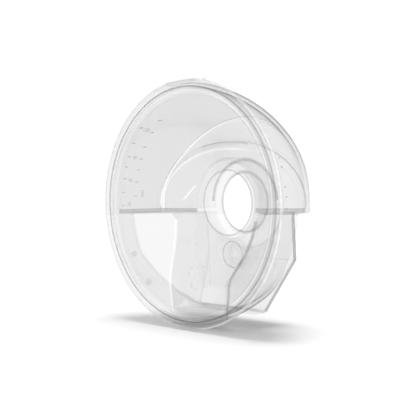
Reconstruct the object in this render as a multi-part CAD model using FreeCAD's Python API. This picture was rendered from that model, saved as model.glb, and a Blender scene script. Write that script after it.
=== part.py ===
import FreeCAD, Part
import math
import os
from FreeCAD import Vector

os.makedirs("parts", exist_ok=True)

# Clear collection cup of a wearable breast pump, in millimetres.
# Frame: the origin is the centre of the front rim. -Y faces the breast, +Y is the rear,
# where the pump unit docks, +Z is up and X = 0 is the mirror plane.

# Driving dimensions
RIM_RADIUS = 57.5
LIP_THICKNESS = 1.8
LIP_INNER_RADIUS = 51.3
PLUG_OUTER_RADIUS = 52.9
PLUG_DEPTH = 6.5
SHIELD_WALL = 1.6
SHELL_WALL = 1.8
SHELL_HALF_WIDTH = 56.0
SHELL_HALF_HEIGHT = 55.7
SHELL_DEPTH_RADIUS = 63.0
FLANGE_INNER_RADIUS = 53.1
FLANGE_RADIUS = 56.6
FLANGE_THICKNESS = 1.8
SHELL_FRONT = 3.0
SHELL_REACH = 49.0
FLOOR_MIDDLE = -3.6
FLOOR_THICKNESS = 2.0
TUNNEL_START = 30.2
TUNNEL_END = 43.4
TUNNEL_START_RADIUS = 15.5
TUNNEL_END_RADIUS = 14.3
TUNNEL_BORE_START = 33.5
DOCK_FLOOR = 30.6
DOCK_HALF_WIDTH = 46.8
DOCK_HEIGHT = 30.0
DOCK_MOUTH = 43.0
DOCK_MOUTH_HALF_WIDTH = 50.0
DOCK_MOUTH_HEIGHT = 42.0
COLLAR_INNER_RADIUS = 19.9
COLLAR_OUTER_RADIUS = 22.1
DOCK_HOLE_RADIUS = 20.3
CRADLE_FRONT = 9.0
CRADLE_FRONT_HALF_WIDTH = 19.7
CRADLE_SHOULDER = 21.5
CRADLE_SHOULDER_HALF_WIDTH = 26.8
CRADLE_REAR = 47.4
CRADLE_REAR_HALF_WIDTH = 28.5
CRADLE_KNEE_Z = -28.0
CRADLE_FOOT_Z = -52.0
CRADLE_FOOT_REAR = 32.0
FOOT_FRONT_HALF_WIDTH = 18.1
FOOT_SHOULDER_HALF_WIDTH = 21.0
FOOT_REAR_HALF_WIDTH = 22.0
FLARE_HEIGHT = 3.4
FLARE_FRONT = 3.0
FLARE_REAR = 1.0
PORT_Z = -25.4
PORT_RADIUS = 6.8
PORT_WALL = 1.4
PORT_REAR = 38.6
SEAT_HOLE_RADIUS = 2.2
DIAPHRAGM_DEPTH = 37.0
DIAPHRAGM_THICKNESS = 0.8
DIAPHRAGM_BOSS_RADIUS = 2.0
CAP_WALL = 1.3
CAP_THICKNESS = 1.6
CAP_RUN = 0.08
CAP_HOLE_RADIUS = 1.5
GRIP_COUNT = 12
GRIP_RADIUS = 0.5
PLATE_FRONT = 33.0
PLATE_THICKNESS = 1.6
PLATE_FOOT_Z = -42.0
SKIRT_REAR = 15.2
SKIRT_TURN_Z = -25.0
SKIRT_FALL = 0.335
CRADLE_TOP_STEP = 1.2
COVER_THICKNESS = 2.2
VALVE_Y = 24.6
VALVE_STEM_Z = 20.2
VALVE_FLANGE_Z = 24.4
VALVE_RADIUS = 3.2
VALVE_HOLE_RADIUS = 2.6
VALVE_BILL_LENGTH = 6.4
TAB_HALF_WIDTH = 9.0
TAB_NOTCH_Z = 56.6
TAB_DEPTH = 1.5
TAB_FORWARD = 0.8
NUB_ANGLE = 75.0
NUB_REACH = 58.4
STUD_RADIUS = 1.3
STUD_LENGTH = 4.2
STUD_DEPTH = 9.0
PORT_SEAL_THICKNESS = 1.1
TUNNEL_SEAL_THICKNESS = 2.2
TUNNEL_CLEARANCE = 0.6
COLLAR_CHAMFER = 0.4
TAB_FILLET = 0.35
GASKET_MARGIN = 0.4
MERGE = 0.2
GAP = 0.05

# Sizes worked out from the driving dimensions
FLOOR_TOP = FLOOR_MIDDLE + FLOOR_THICKNESS / 2
FLOOR_BOTTOM = FLOOR_MIDDLE - FLOOR_THICKNESS / 2
TUNNEL_OUTER_RADIUS = TUNNEL_START_RADIUS + SHIELD_WALL
FAR = 200.0  # beyond the part in every direction

AXIS_POINT = Vector(0, 0, 0)
AXIS_Y = Vector(0, 1, 0)


def save(shape, node):
    """Write one sub-part under its node name."""
    shape.exportStep("parts/" + node + ".step")


def at(radius, depth):
    """Point of a turned profile: radius from the Y axis and place along it."""
    return Vector(radius, depth, 0)


def polyline(points):
    """Closed wire through points, in order."""
    return Part.makePolygon(points + [points[0]])


def turned(wire):
    """Solid of revolution about the Y axis."""
    return Part.Face(wire).revolve(AXIS_POINT, AXIS_Y, 360)


def ring(inner, outer, front, rear, chamfer=0.0):
    """Turned ring about the Y axis, with its outer corners cut back by chamfer."""
    outline = [
        at(inner, front),
        at(outer - chamfer, front),
        at(outer, front + chamfer),
        at(outer, rear - chamfer),
        at(outer - chamfer, rear),
        at(inner, rear),
    ]
    if chamfer == 0.0:
        outline = [at(inner, front), at(outer, front), at(outer, rear), at(inner, rear)]
    return turned(polyline(outline))


def tube_y(x, z, inner, outer, front, rear):
    """Tube whose axis runs along Y through x, z."""
    tube = Part.makeCylinder(outer, rear - front, Vector(x, front, z), AXIS_Y)
    if inner > 0:
        tube = tube.cut(Part.makeCylinder(inner, rear - front, Vector(x, front, z), AXIS_Y))
    return tube


def box(x_range, y_range, z_range):
    """Box between pairs of limits."""
    size = [high - low for low, high in (x_range, y_range, z_range)]
    corner = Vector(x_range[0], y_range[0], z_range[0])
    return Part.makeBox(size[0], size[1], size[2], corner)


def spline(points):
    """Smooth curve through points."""
    curve = Part.BSplineCurve()
    curve.interpolate(points)
    return curve


# --- breast shield -----------------------------------------------------------------

def shield_profile():
    """Front face of the funnel, from the lip's inner edge to the mouth of the tunnel."""
    return spline([
        at(LIP_INNER_RADIUS, 1.0),
        at(46.5, 3.0),
        at(42.0, 5.4),
        at(37.6, 8.7),
        at(34.4, 12.1),
        at(30.5, 16.1),
        at(26.5, 19.9),
        at(21.3, 24.9),
        at(TUNNEL_START_RADIUS, TUNNEL_START),
    ])


def shield_back_points(offset):
    """Points at the given distance behind the funnel's front face."""
    curve = shield_profile()
    first = curve.FirstParameter
    span = curve.LastParameter - first
    steps = 16
    points = []
    for step in range(steps + 1):
        place = first + span * step / steps
        along = curve.tangent(place)[0]
        points.append(curve.value(place) + Vector(-along.y, along.x, 0) * -offset)
    return points


def funnel_wall():
    """Funnel and tunnel as one turned wall."""
    front = shield_profile()
    back_points = shield_back_points(SHIELD_WALL)
    back = spline(back_points)
    mouth = at(TUNNEL_START_RADIUS, TUNNEL_START)
    bore_start = at(TUNNEL_END_RADIUS, TUNNEL_BORE_START)
    front_end = at(TUNNEL_END_RADIUS, TUNNEL_END)
    back_end = at(TUNNEL_END_RADIUS + SHIELD_WALL, TUNNEL_END)
    edges = [
        front.toShape(),
        Part.makeLine(mouth, bore_start),
        Part.makeLine(bore_start, front_end),
        Part.makeLine(front_end, back_end),
        Part.makeLine(back_end, back_points[-1]),
        back.toShape(),
        Part.makeLine(back_points[0], at(LIP_INNER_RADIUS, 1.0)),
    ]
    return turned(Part.Wire(Part.__sortEdges__(edges)))


def front_space(offset):
    """Everything in front of the funnel's back face, grown by offset: other parts stay out."""
    points = shield_back_points(SHIELD_WALL + offset)
    rim = points[0]
    throat = points[-1]
    edges = [
        spline(points).toShape(),
        Part.makeLine(throat, at(throat.x, FAR)),
        Part.makeLine(at(throat.x, FAR), at(0, FAR)),
        Part.makeLine(at(0, FAR), at(0, -FAR)),
        Part.makeLine(at(0, -FAR), at(FAR, -FAR)),
        Part.makeLine(at(FAR, -FAR), at(FAR, rim.y)),
        Part.makeLine(at(FAR, rim.y), rim),
    ]
    return turned(Part.Wire(Part.__sortEdges__(edges)))


def lip():
    """Flat ring against the breast, with a rounded outer edge and a plug wall behind."""
    edge = LIP_THICKNESS / 2
    flat = ring(LIP_INNER_RADIUS - MERGE, RIM_RADIUS - edge, 0, LIP_THICKNESS)
    bead = Part.makeTorus(RIM_RADIUS - edge, edge, Vector(0, edge, 0), AXIS_Y)
    plug_inner = LIP_INNER_RADIUS + MERGE
    plug = ring(plug_inner, PLUG_OUTER_RADIUS, LIP_THICKNESS - MERGE, PLUG_DEPTH)
    return flat.fuse(bead).fuse(plug)


def gate_nub():
    """Small round nub on the lip's edge, near its top, where the mould was filled."""
    turn = math.radians(NUB_ANGLE)
    outward = Vector(math.cos(turn), 0, math.sin(turn))
    rooted = 2.0
    foot = outward * (RIM_RADIUS - rooted) + Vector(0, LIP_THICKNESS / 2, 0)
    radius = LIP_THICKNESS / 2 - GAP
    return Part.makeCylinder(radius, NUB_REACH - RIM_RADIUS + rooted, foot, outward)


def tab_notch(side):
    """Space for a lift tab at the top (side = 1) or bottom (side = -1) of the lip."""
    z_range = sorted([side * (TAB_NOTCH_Z - TAB_DEPTH), side * FAR])
    return box((-TAB_HALF_WIDTH, TAB_HALF_WIDTH), (-FAR, LIP_THICKNESS), z_range)


def breast_shield():
    shape = funnel_wall().fuse(lip()).fuse(gate_nub())
    for side in (1, -1):
        shape = shape.cut(tab_notch(side))
    valve_hole = Part.makeCylinder(VALVE_HOLE_RADIUS, RIM_RADIUS / 2, Vector(0, VALVE_Y, 0))
    return shape.cut(valve_hole).removeSplitter()


def lift_tab(side):
    """Finger tab that fills the notch in the lip and stands a little forward of it."""
    reach = TAB_HALF_WIDTH - GAP
    z_range = sorted([side * (TAB_NOTCH_Z - TAB_DEPTH + GAP), side * TAB_NOTCH_Z])
    tab = box((-reach, reach), (-TAB_FORWARD, LIP_THICKNESS), z_range)
    front_edges = [e for e in tab.Edges if abs(e.CenterOfMass.y + TAB_FORWARD) < 0.01]
    long_edges = [e for e in front_edges if e.Length > reach]
    return tab.makeFillet(TAB_FILLET, long_edges)


def rim_gasket():
    """Soft ring pinched between the shield's lip and the container's flange."""
    inner = FLANGE_INNER_RADIUS + GASKET_MARGIN
    return ring(inner, FLANGE_RADIUS - GASKET_MARGIN, LIP_THICKNESS, SHELL_FRONT)


def milk_valve():
    """Soft duckbill: a round stem in the shield's wall and a bill that narrows to a slit."""
    foot = Vector(0, VALVE_Y, VALVE_STEM_Z)
    stem_length = VALVE_FLANGE_Z - VALVE_STEM_Z
    stem = Part.makeCylinder(VALVE_HOLE_RADIUS - GAP, stem_length, foot)
    collar_height = 1.6
    collar = Part.makeCylinder(VALVE_RADIUS, collar_height, Vector(0, VALVE_Y, VALVE_FLANGE_Z))
    bill_z = VALVE_FLANGE_Z + collar_height
    bill_foot = Part.Wire(Part.makeCircle(VALVE_RADIUS - 0.4, Vector(0, VALVE_Y, bill_z)))
    slit_half = VALVE_RADIUS - 0.5
    lip_half = 0.4
    slit_z = bill_z + VALVE_BILL_LENGTH
    slit = polyline([
        Vector(-slit_half, VALVE_Y - lip_half, slit_z),
        Vector(slit_half, VALVE_Y - lip_half, slit_z),
        Vector(slit_half, VALVE_Y + lip_half, slit_z),
        Vector(-slit_half, VALVE_Y + lip_half, slit_z),
    ])
    bill = Part.makeLoft([bill_foot, slit], True, True)
    head = collar.fuse(bill).cut(front_space(GAP))
    bore = Part.makeCylinder(VALVE_RADIUS / 2 - 0.3, stem_length + 2.0, foot)
    return head.fuse(stem).cut(bore).removeSplitter()


# --- container ---------------------------------------------------------------------

def ellipsoid(inset):
    """Front part of the shell's ellipsoid, its semi-axes reduced by inset."""
    ball = Part.makeSphere(1.0)
    stretch = FreeCAD.Matrix()
    stretch.A11 = SHELL_HALF_WIDTH - inset
    stretch.A22 = SHELL_DEPTH_RADIUS - inset
    stretch.A33 = SHELL_HALF_HEIGHT - inset
    reach = box((-FAR, FAR), (-1, SHELL_REACH), (-FAR, FAR))
    return ball.transformGeometry(stretch).common(reach)


def oval(width, height, depth):
    """Upright ellipse about the Y axis at a depth, by its half-width and half-height."""
    middle = Vector(0, depth, 0)
    curve = Part.Ellipse(Vector(width, depth, 0), Vector(0, depth, height), middle)
    return Part.Wire(curve.toShape())


def dock_space(grow):
    """Hollow that the pump unit sits in, behind the dock floor, grown by a wall."""
    slope_w = (DOCK_MOUTH_HALF_WIDTH - DOCK_HALF_WIDTH) / (DOCK_MOUTH - DOCK_FLOOR)
    slope_h = (DOCK_MOUTH_HEIGHT - DOCK_HEIGHT) / (DOCK_MOUTH - DOCK_FLOOR)
    beyond = SHELL_REACH + 1
    outlines = []
    for depth in (DOCK_FLOOR - grow, beyond):
        run = depth - DOCK_FLOOR
        width = DOCK_HALF_WIDTH + slope_w * run + grow
        height = DOCK_HEIGHT + slope_h * run + grow
        outlines.append(oval(width, height, depth))
    return Part.makeLoft(outlines, True, True).common(above_floor(FLOOR_BOTTOM - 1.0))


def above_floor(level):
    return box((-FAR, FAR), (-FAR, FAR), (level, FAR))


def skirt_cut():
    """Space behind the skirt: upright under the floor, then running back as it goes down."""
    below = -RIM_RADIUS - 10.0
    outline = polyline([
        Vector(0, SKIRT_REAR, FLOOR_BOTTOM),
        Vector(0, FAR, FLOOR_BOTTOM),
        Vector(0, FAR, below),
        Vector(0, SKIRT_REAR + SKIRT_FALL * (SKIRT_TURN_Z - below), below),
        Vector(0, SKIRT_REAR, SKIRT_TURN_Z),
    ])
    return Part.Face(outline).extrude(Vector(2 * FAR, 0, 0)).translated(Vector(-FAR, 0, 0))


def outer_shell():
    """Domed wall above the floor and a short skirt below it, in one moulding."""
    front = box((-FAR, FAR), (SHELL_FRONT, FAR), (-FAR, FAR))
    wall = ellipsoid(0).cut(ellipsoid(SHELL_WALL)).common(front)
    flange_rear = SHELL_FRONT + FLANGE_THICKNESS
    wall = wall.fuse(ring(FLANGE_INNER_RADIUS, FLANGE_RADIUS, SHELL_FRONT, flange_rear))
    wall = wall.cut(skirt_cut())
    return wall.cut(dock_space(SHELL_WALL + GAP)).removeSplitter()


def dock_wall():
    """Arched roof and flat floor of the dock, which close the milk chamber at the rear."""
    wall = dock_space(SHELL_WALL).cut(dock_space(0))
    wall = wall.common(ellipsoid(0)).common(above_floor(FLOOR_BOTTOM))
    return wall.cut(tube_y(0, 0, 0, DOCK_HOLE_RADIUS, 0, FAR))


def chamber_floor(side):
    """Level plate between the milk chamber and the cradle, on one side of the tunnel."""
    x_range = sorted([0.0, side * FAR])
    rear = DOCK_FLOOR - SHELL_WALL - GAP
    plate = box(x_range, (PLUG_DEPTH + GAP, rear), (FLOOR_BOTTOM, FLOOR_TOP))
    plate = plate.common(ellipsoid(SHELL_WALL + GAP))
    plate = plate.cut(front_space(GAP))
    return plate.cut(tube_y(0, 0, 0, TUNNEL_OUTER_RADIUS + TUNNEL_CLEARANCE, 0, FAR))


def tunnel_collar():
    """Half ring behind the dock floor, over the tunnel's rear end."""
    front = DOCK_FLOOR + GAP
    collar = ring(COLLAR_INNER_RADIUS, COLLAR_OUTER_RADIUS, front, TUNNEL_END, COLLAR_CHAMFER)
    return collar.common(above_floor(FLOOR_TOP + GAP))


def tunnel_seal():
    """Soft ring between the tunnel and its collar."""
    thick = TUNNEL_SEAL_THICKNESS / 2
    middle = TUNNEL_OUTER_RADIUS + GAP + thick
    depth = DOCK_FLOOR + thick + 2 * GAP
    return Part.makeTorus(middle, thick, Vector(0, depth, 0), AXIS_Y)


def locating_stud(angle):
    """Peg on the inside of the skirt that lines the shield up."""
    turn = math.radians(angle)
    outward = Vector(math.cos(turn), 0, math.sin(turn))
    foot = outward * SHELL_HALF_HEIGHT + Vector(0, STUD_DEPTH, 0)
    stud = Part.makeCylinder(STUD_RADIUS, STUD_LENGTH, foot, outward * -1)
    return stud.common(ellipsoid(SHELL_WALL + GAP))


# --- cradle below the floor --------------------------------------------------------

def cradle_plan(level, widths):
    """Level outline: half-widths at the front edge, at the shoulder and at the rear."""
    front_w, shoulder_w, rear_w = widths
    run_out = 4.0
    narrower = (shoulder_w - front_w) / (CRADLE_SHOULDER - CRADLE_FRONT) * run_out
    half = [
        Vector(front_w - narrower, CRADLE_FRONT - run_out, level),
        Vector(shoulder_w, CRADLE_SHOULDER, level),
        Vector(rear_w, CRADLE_REAR, level),
    ]
    mirrored = [Vector(-point.x, point.y, point.z) for point in reversed(half)]
    return polyline(half + mirrored)


def cradle_sides(inset):
    """Space between the side walls: flared under the floor and narrower at the foot."""
    middle = [CRADLE_FRONT_HALF_WIDTH, CRADLE_SHOULDER_HALF_WIDTH, CRADLE_REAR_HALF_WIDTH]
    foot = [FOOT_FRONT_HALF_WIDTH, FOOT_SHOULDER_HALF_WIDTH, FOOT_REAR_HALF_WIDTH]
    flared = [middle[0] + FLARE_FRONT, middle[1] + FLARE_FRONT, middle[2] + FLARE_REAR]
    levels = [FLOOR_BOTTOM, FLOOR_BOTTOM - FLARE_HEIGHT, CRADLE_KNEE_Z, CRADLE_FOOT_Z]
    outlines = []
    for level, widths in zip(levels, (flared, middle, middle, foot)):
        outlines.append(cradle_plan(level, [width - inset for width in widths]))
    return Part.makeLoft(outlines, True, True)


def cradle_block(inset):
    """Outside shape of the cradle, with a sloping rear foot, shrunk by inset."""
    rear = CRADLE_REAR - inset
    foot_rear = CRADLE_FOOT_REAR - inset
    foot_z = CRADLE_FOOT_Z + inset
    knee_z = CRADLE_KNEE_Z + inset * 0.5
    top = 0.0 if inset else FLOOR_BOTTOM - GAP
    side = polyline([
        Vector(-FAR, 0, top),
        Vector(-FAR, rear - CRADLE_TOP_STEP, top),
        Vector(-FAR, rear, knee_z),
        Vector(-FAR, foot_rear, foot_z),
        Vector(-FAR, 0, foot_z),
    ])
    block = Part.Face(side).extrude(Vector(2 * FAR, 0, 0))
    return block.common(cradle_sides(inset))


def skirt_keep_out():
    """The skirt's wall and all outside it, as far back as the skirt reaches."""
    front = box((-FAR, FAR), (-FAR, FAR), (-FAR, FLOOR_BOTTOM)).cut(skirt_cut())
    front = front.translated(Vector(0, GAP, 0))
    return front.cut(ellipsoid(SHELL_WALL + GAP))


def rear_split(offset):
    """Space behind the seam between the cradle's frame and its rear cover."""
    y_top = CRADLE_REAR - CRADLE_TOP_STEP - COVER_THICKNESS + offset
    y_knee = CRADLE_REAR - COVER_THICKNESS + offset
    y_foot = CRADLE_FOOT_REAR - COVER_THICKNESS + offset
    outline = polyline([
        Vector(-FAR, y_top, 0),
        Vector(-FAR, y_knee, CRADLE_KNEE_Z),
        Vector(-FAR, y_foot, CRADLE_FOOT_Z - 0.001),
        Vector(-FAR, y_foot, -FAR),
        Vector(-FAR, FAR, -FAR),
        Vector(-FAR, FAR, 0),
    ])
    return Part.Face(outline).extrude(Vector(2 * FAR, 0, 0))


def cradle_frame():
    """Side walls and foot of the cradle, open at the front and behind."""
    hollow = cradle_sides(SHELL_WALL).common(above_floor(CRADLE_FOOT_Z + SHELL_WALL))
    shape = cradle_block(0).cut(hollow)
    shape = shape.cut(rear_split(0)).cut(skirt_keep_out()).cut(front_space(GAP))
    shape = shape.cut(box((-FAR, FAR), (-FAR, CRADLE_FRONT), (-FAR, 0)))
    return shape.cut(tube_y(0, 0, 0, COLLAR_OUTER_RADIUS + GAP, 0, FAR))


def rear_cover():
    """Panel that closes the cradle behind, with its knee and the sloping foot."""
    shape = cradle_block(0).common(rear_split(GAP))
    return shape.cut(tube_y(0, 0, 0, COLLAR_OUTER_RADIUS + GAP, 0, FAR))


def port_plate():
    """Upright plate inside the cradle that carries the vacuum port."""
    inside = cradle_block(SHELL_WALL + GAP)
    depth = (PLATE_FRONT, PLATE_FRONT + PLATE_THICKNESS)
    plate = box((-FAR, FAR), depth, (PLATE_FOOT_Z, FLOOR_BOTTOM - GAP)).common(inside)
    plate = plate.cut(tube_y(0, 0, 0, TUNNEL_OUTER_RADIUS + TUNNEL_CLEARANCE, 0, FAR))
    return plate.cut(tube_y(0, PORT_Z, 0, PORT_RADIUS + GAP, 0, FAR))


def vacuum_port():
    """Short tube through the port plate, with a seat step for the diaphragm inside."""
    bore = PORT_RADIUS - PORT_WALL
    tube = tube_y(0, PORT_Z, bore, PORT_RADIUS, PLATE_FRONT, PORT_REAR)
    seat_front = PLATE_FRONT + 0.6
    seat_rear = seat_front + 1.2
    seat = tube_y(0, PORT_Z, SEAT_HOLE_RADIUS, bore + 0.2, seat_front, seat_rear)
    return tube.fuse(seat).removeSplitter()


def port_seal():
    """Soft ring around the port, against the rear of its plate."""
    thick = PORT_SEAL_THICKNESS / 2
    depth = PLATE_FRONT + PLATE_THICKNESS + thick
    return Part.makeTorus(PORT_RADIUS + thick + GAP, thick, Vector(0, depth, PORT_Z), AXIS_Y)


def backflow_diaphragm():
    """Soft disc inside the port, with a thick middle, free to breathe fore and aft."""
    radius = PORT_RADIUS - PORT_WALL - 2 * GAP
    front = DIAPHRAGM_DEPTH - DIAPHRAGM_THICKNESS / 2
    rear = DIAPHRAGM_DEPTH + DIAPHRAGM_THICKNESS / 2
    disc = tube_y(0, PORT_Z, 0, radius, front, rear)
    boss = tube_y(0, PORT_Z, 0, DIAPHRAGM_BOSS_RADIUS, front - 0.6, rear + 0.4)
    return disc.fuse(boss).removeSplitter()


def port_cap():
    """Round grip cap over the port's rear end, with an air hole in its middle."""
    outside = PORT_RADIUS + CAP_WALL
    front = PORT_REAR - CAP_THICKNESS
    rear = PORT_REAR + CAP_THICKNESS
    end = tube_y(0, PORT_Z, CAP_HOLE_RADIUS, outside, PORT_REAR + GAP, rear)
    rim = tube_y(0, PORT_Z, PORT_RADIUS + CAP_RUN, outside, front, PORT_REAR + 2 * GAP)
    cap = end.fuse(rim)
    reach = outside + GRIP_RADIUS / 2
    for index in range(GRIP_COUNT):
        turn = 2 * math.pi * index / GRIP_COUNT
        x = reach * math.cos(turn)
        z = PORT_Z + reach * math.sin(turn)
        cap = cap.cut(tube_y(x, z, 0, GRIP_RADIUS, front - 1, rear + 1))
    return cap.removeSplitter()


save(breast_shield(), "breast_shield")
save(lift_tab(1), "lift_tab_top")
save(lift_tab(-1), "lift_tab_bottom")
save(rim_gasket(), "rim_gasket")
save(milk_valve(), "milk_valve")
save(outer_shell(), "outer_shell")
save(dock_wall(), "dock_wall")
save(chamber_floor(-1), "chamber_floor_left")
save(chamber_floor(1), "chamber_floor_right")
save(tunnel_collar(), "tunnel_collar")
save(tunnel_seal(), "tunnel_seal")
save(locating_stud(209), "stud_left_high")
save(locating_stud(228), "stud_left_low")
save(locating_stud(312), "stud_right_low")
save(locating_stud(331), "stud_right_high")
save(cradle_frame(), "cradle_frame")
save(rear_cover(), "rear_cover")
save(port_plate(), "port_plate")
save(vacuum_port(), "vacuum_port")
save(port_seal(), "port_seal")
save(backflow_diaphragm(), "backflow_diaphragm")
save(port_cap(), "port_cap")
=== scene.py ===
import math

import bmesh
import bpy
import numpy as np
from mathutils import Matrix, Vector


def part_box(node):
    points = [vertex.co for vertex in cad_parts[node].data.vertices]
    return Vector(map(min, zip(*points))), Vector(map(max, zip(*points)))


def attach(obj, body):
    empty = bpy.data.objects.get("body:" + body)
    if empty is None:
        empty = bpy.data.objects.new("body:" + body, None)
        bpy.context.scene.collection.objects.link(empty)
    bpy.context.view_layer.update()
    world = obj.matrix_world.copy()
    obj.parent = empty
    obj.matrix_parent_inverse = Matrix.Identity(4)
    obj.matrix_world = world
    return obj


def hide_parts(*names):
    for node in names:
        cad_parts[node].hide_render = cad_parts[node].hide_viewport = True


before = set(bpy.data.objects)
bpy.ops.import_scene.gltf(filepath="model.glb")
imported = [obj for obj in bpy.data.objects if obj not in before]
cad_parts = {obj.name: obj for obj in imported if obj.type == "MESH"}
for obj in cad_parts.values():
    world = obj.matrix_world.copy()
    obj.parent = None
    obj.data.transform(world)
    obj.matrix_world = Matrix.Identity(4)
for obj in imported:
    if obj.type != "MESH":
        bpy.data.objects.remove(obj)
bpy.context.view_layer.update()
MM = 0.001

# Camera and stand, worked out in the object's own frame: places in metres, lens and sensor
# in millimetres
AZIMUTH = math.radians(44.24)
ELEVATION = math.radians(1.20)
ROLL = math.radians(-1.31)
DISTANCE = 0.3268
TARGET = Vector((0.0143, 0.0, -0.0002))
LENS = 64.6
SENSOR = 36.0
UPRIGHT = Vector((0.0, 0.0328, 0.9995)).normalized()
STAND_POINT = Vector((0.0, 0.0009, -0.0575))
FLOOR_DROP = 0.0003
FLOOR_HALF_SIDE = 4.0
FLOOR_SPECKLE = 220.0
FLOOR_TONES = (0.50, 0.51)

# Light
WORLD_STRENGTH = 1.03
SUN_STRENGTH = 3.55
SUN_DIRECTION = (-0.05, 0.0, -1.0)
SUN_SPREAD = math.radians(28.0)
CLEAR_LAYERS = 64

# The breast shield, in millimetres, as in the CAD part
RIM_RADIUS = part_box("breast_shield")[1].x / MM
LIP_THICKNESS = 1.8
LIP_INNER_EDGE = [(51.1, 0.25), (51.35, 0.0)]
BAND_INNER_RADIUS = 52.8
BAND_OUTER_RADIUS = 54.6
PLUG_INNER_RADIUS = 51.5
PLUG_OUTER_RADIUS = 52.9
PLUG_DEPTH = 6.5
SHIELD_WALL = 1.6
TUNNEL_RADIUS = 14.3
TUNNEL_BORE_START = 33.5
TUNNEL_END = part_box("breast_shield")[1].y / MM
TUNNEL_ROUND = 0.3
FUNNEL = [(51.3, 1.0), (46.5, 3.0), (42.0, 5.4), (37.6, 8.7), (34.4, 12.1),
          (30.5, 16.1), (26.5, 19.9), (21.3, 24.9), (15.5, 30.2)]
TAB_NOTCH_Z = 56.6
TAB_NOTCH_HALF_WIDTH = 11.0
NUB_ANGLE = math.radians(75.0)
NUB_REACH = 58.4
NUB_RADIUS = 0.85
NUB_ROOT = 0.6
FUNNEL_STEPS = 40
LIP_STEPS = 9
TURN_SEGMENTS = 192
PROFILE_GAP = 0.1

# The container, in millimetres
SHELL_WALL = 1.8
SHELL_HALF_WIDTH = 56.0
SHELL_HALF_HEIGHT = 55.7
SHELL_DEPTH_RADIUS = 63.0
SHELL_FRONT = 3.0
FLOOR_BOTTOM = -4.6
SKIRT_REAR = 15.2
SKIRT_TURN_Z = -25.0
SKIRT_FALL = 0.335
DOCK_FLOOR = 30.6
DOCK_HALF_WIDTH = 46.8
DOCK_HEIGHT = 30.0
DOCK_MOUTH = 43.0
DOCK_MOUTH_HALF_WIDTH = 50.0
DOCK_MOUTH_HEIGHT = 42.0
DOCK_HOLE_RADIUS = 20.3
DOCK_CORNER = 2.2
DOCK_CORNER_DEPTH = 0.7 * DOCK_CORNER
PORT_Z = -25.4
GAP = 0.05
MEETING_RANGE = (DOCK_FLOOR - 6.0, 48.0)
MEETING_HALVINGS = 40
ARCH_STEPS = 120
SKIRT_STEPS = 96
FRONT_ROWS = 8
DOME_ROWS = 24
DOCK_ROWS = 8
CORNER_SHARES = (0.25, 0.5, 0.75)

# Half widths of the cradle at three depths, above its knee and at its foot
CRADLE_DEPTHS = (9.0, 21.5, 47.4)
CRADLE_UPPER_HALF_WIDTHS = (19.7, 26.8, 28.5)
CRADLE_FOOT_HALF_WIDTHS = (18.1, 21.0, 22.0)
CRADLE_KNEE_Z = -28.0
CRADLE_FOOT_RUN = 24.0

# Knots of the beads along the cradle's and the dock's edges and of the painted highlight streak
#  on the dock's floor, on the right side: x, y, z
CRADLE_EDGE = [(26.6, 20.6, -8.3), (25.49, 19.0, -16.0), (23.7, 15.8, -24.0),
               (21.25, 11.5, -31.0), (20.0, 9.7, -34.5), (19.65, 9.0, -38.0),
               (19.4, 9.0, -42.0), (18.6, 9.0, -47.5), (18.2, 9.0, -51.6)]
CRADLE_EDGE_INSET = 0.5
COVER_CORNER = [(28.2, 45.7, -5.4), (27.8, 46.7, -28.0), (21.5, 31.7, -51.2)]
DOCK_HIGHLIGHT_STREAK = [(28.7, 28.7, 2.1), (24.2, 28.7, 5.6), (20.6, 28.7, 8.6)]
FOOT_EDGE_HALF_WIDTH = 20.5
FOOT_EDGE_Y = 31.6
FOOT_EDGE_Z = -51.3

# Graduations on the dome: depths of the columns and heights of the marks
MARK_COLUMN = 10.5
SECOND_COLUMN = 17.6
NUMBER_COLUMN = 14.0
UNIT_COLUMN = 21.3
DOT_COLUMN = 5.3
MARK_LEVELS = [38.4, 31.0, 24.3, 19.2, 13.3, 6.1, -0.7]
SECOND_LEVELS = [42.0, 36.4, 29.3, 23.3, 17.7, 11.4, 4.1]
NUMBER_LEVELS = [37.3, 23.9, 12.4, -0.2]
DOT_LEVELS = [19.0, 15.2, 7.0, 2.8, -2.0]
UNIT_LEVEL = 5.2
MARK_HALF_LENGTH = 0.9
MARK_WIDTH = 0.5
MARK_HEIGHT = 0.25
MARK_STEPS = 6
MARK_SINK = -0.1
DOT_HALF_LENGTH = 0.5
DOT_WIDTH = 0.7
NUMBER_SIZE = 2.6
UNIT_SIZE = 4.0
LETTER_HALF_THICKNESS = 0.12
LETTER_LIFT = 0.08
LETTER_SQUEEZE = 0.8
TOP_VOLUME = 120
VOLUME_STEP = 30

# Dashes on the cradle's left wall: start and end of each, as depth and height
DASH_WIDTH = 0.5
DASH_HEIGHT = 0.2
CRADLE_DASHES = [((28.0, -34.6), (28.0, -37.6)), ((28.0, -40.0), (28.0, -43.4)),
                 ((44.0, -35.0), (44.0, -38.0)), ((43.0, -40.0), (42.0, -42.6)),
                 ((29.6, -33.4), (31.6, -33.4)), ((34.0, -33.6), (36.0, -33.6)),
                 ((38.0, -33.8), (40.4, -33.8)), ((30.0, -43.8), (32.4, -43.8)),
                 ((37.0, -43.9), (39.0, -43.9)), ((28.2, -20.2), (29.8, -20.2)),
                 ((35.0, -21.2), (37.2, -21.2))]

# Rounding of edges and smoothing of faces
PIECE_BEVEL_ANGLE = math.radians(35.0)
SHARP_ANGLE = math.radians(50.0)
SHELL_BEVEL = 0.4
NUB_BEVEL = 0.2
NODE_BEVEL = 0.3
PORT_BEVEL = 0.2
NODE_BEVEL_ANGLE = math.radians(30.0)
WELD_DISTANCE = 0.01
SIDE_FACING = 0.7

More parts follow.
